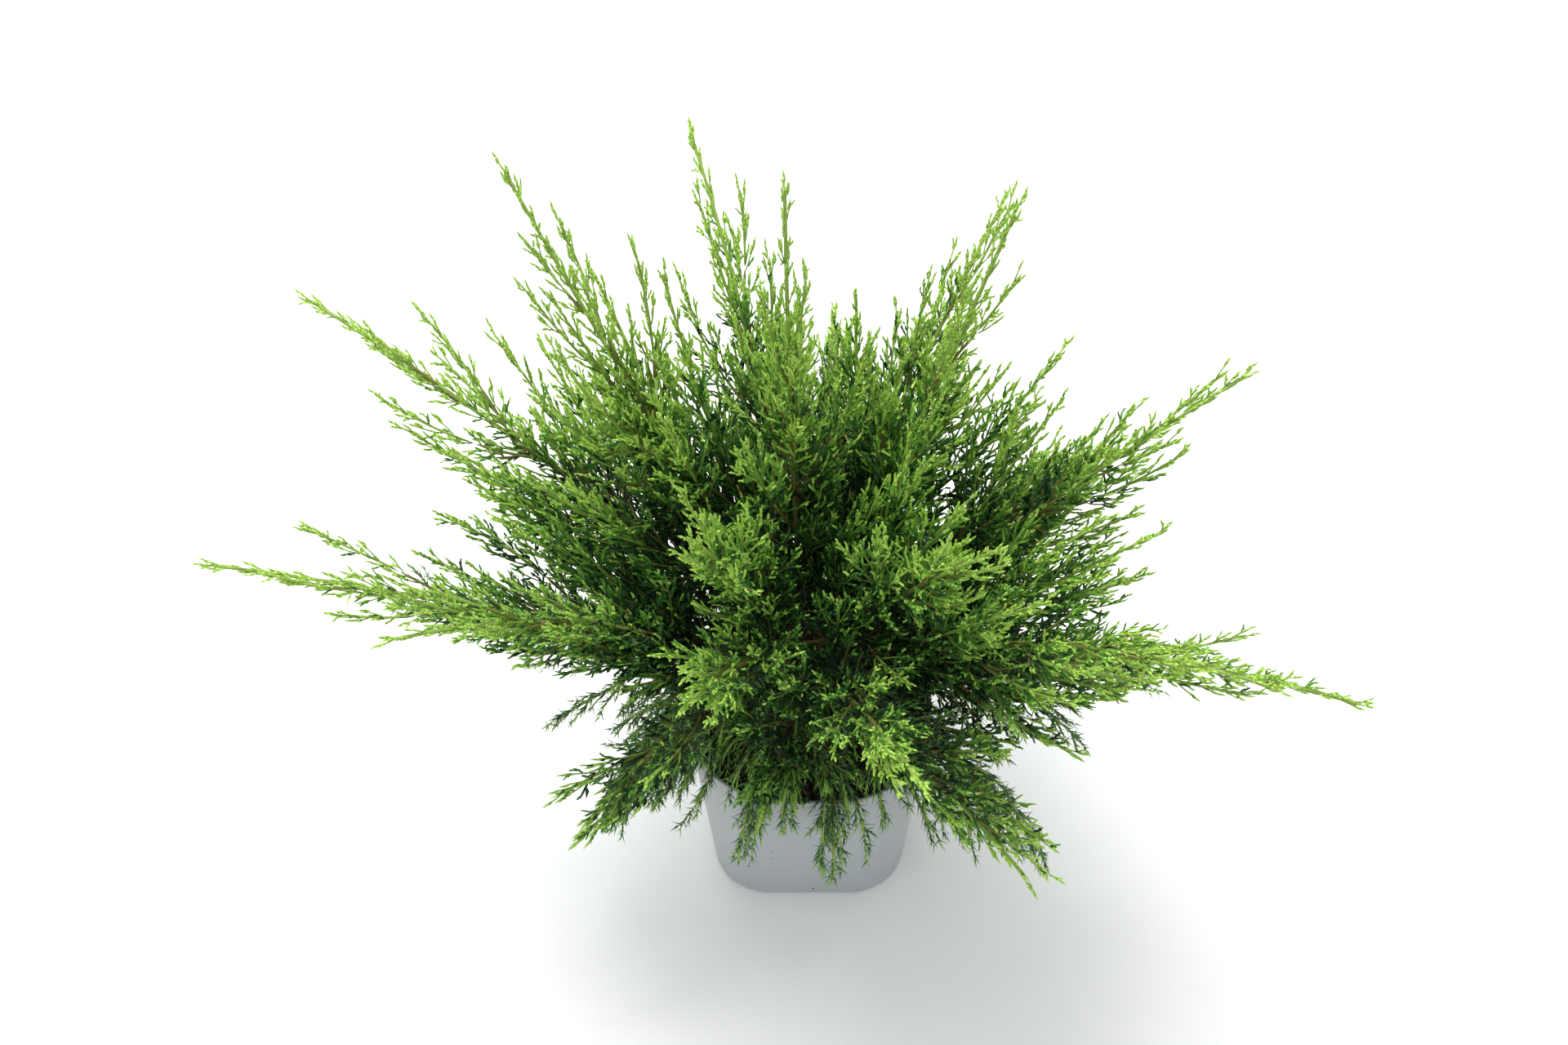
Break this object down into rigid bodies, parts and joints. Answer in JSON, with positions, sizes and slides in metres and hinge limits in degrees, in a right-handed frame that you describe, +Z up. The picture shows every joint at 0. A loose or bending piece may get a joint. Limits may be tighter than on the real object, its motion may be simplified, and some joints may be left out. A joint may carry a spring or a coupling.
{
  "type": "potted juniper shrub",
  "caption": "Young spreading juniper in a square-round nursery pot: a short woody stem, arching boughs, plumes of scale-leaved foliage with long whips.",
  "frame": {"origin": "centre of the pot's flat underside, on the surface that it stands on", "axes": "+Z up; -Y is the front of the plant as pictured, +X to its right"},
  "size_m": [0.5995, 0.3932, 0.4511],
  "materials": {
    "pot": "moulded light bluish-grey nursery pot, faint sheen, a few specks of peat",
    "soil": "moist dark brown peat with crumbs of bark",
    "bark": "thin red-brown bark with flaking strips along the limb",
    "foliage": "fine scale leaves, deep green inside, yellow-green at the tips of the shoots"
  },
  "bodies": {
    "root": {"bough_high_back": "bark", "bough_high_front": "bark", "bough_high_left": "bark", "bough_high_right": "bark", "bough_low_back": "bark", "bough_low_back_left": "bark", "bough_low_back_right": "bark", "bough_low_front": "bark", "bough_low_front_left": "bark", "bough_low_front_right": "bark", "bough_low_left": "bark", "bough_low_right": "bark", "bough_side_back": "bark", "bough_side_back_left": "bark", "bough_side_back_right": "bark", "bough_side_front": "bark", "bough_side_front_left": "bark", "bough_side_front_right": "bark", "bough_side_left": "bark", "bough_side_right": "bark", "bough_skirt_back_left": "bark", "bough_skirt_back_right": "bark", "bough_skirt_front": "bark", "bough_skirt_front_left": "bark", "bough_skirt_front_right": "bark", "bough_skirt_right": "bark", "foliage_high_back": "foliage", "foliage_high_front": "foliage", "foliage_high_left": "foliage", "foliage_high_right": "foliage", "foliage_low_back": "foliage", "foliage_low_back_left": "foliage", "foliage_low_back_right": "foliage", "foliage_low_front": "foliage", "foliage_low_front_left": "foliage", "foliage_low_front_right": "foliage", "foliage_low_left": "foliage", "foliage_low_right": "foliage", "foliage_side_back": "foliage", "foliage_side_back_left": "foliage", "foliage_side_back_right": "foliage", "foliage_side_front": "foliage", "foliage_side_front_left": "foliage", "foliage_side_front_right": "foliage", "foliage_side_left": "foliage", "foliage_side_right": "foliage", "foliage_skirt_back_left": "foliage", "foliage_skirt_back_right": "foliage", "foliage_skirt_front": "foliage", "foliage_skirt_front_left": "foliage", "foliage_skirt_front_right": "foliage", "foliage_skirt_right": "foliage", "foliage_top_whip": "foliage", "pot": "pot", "potting_soil": "soil", "trunk": "bark"}
  },
  "joints": []
}
